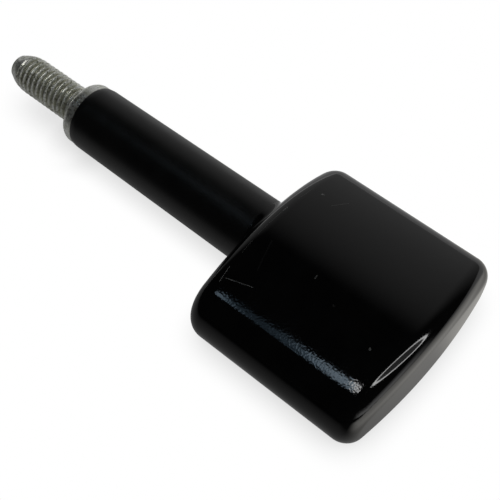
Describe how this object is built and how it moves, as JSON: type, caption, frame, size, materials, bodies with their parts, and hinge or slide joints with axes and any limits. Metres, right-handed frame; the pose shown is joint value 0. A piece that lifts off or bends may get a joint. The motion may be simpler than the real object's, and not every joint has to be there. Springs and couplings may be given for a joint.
{
  "type": "clamping knob with threaded stud",
  "caption": "Smooth black pillow-shaped clamping knob on a long round stem, with a plated steel threaded stud and collar at the stem's end, turned by hand to clamp a joint.",
  "frame": {"origin": "centre of the collar's seat, on the stud's axis", "axes": "+X along the stud towards its tip, +Z out of the head's domed face"},
  "size_m": [0.0672, 0.0284, 0.0105],
  "materials": {
    "black_moulding": "glossy black moulding with fine handling scratches",
    "plated_steel": "dull grey zinc plating"
  },
  "bodies": {
    "root": {"knob_body": "black_moulding", "threaded_stud": "plated_steel"}
  },
  "joints": []
}
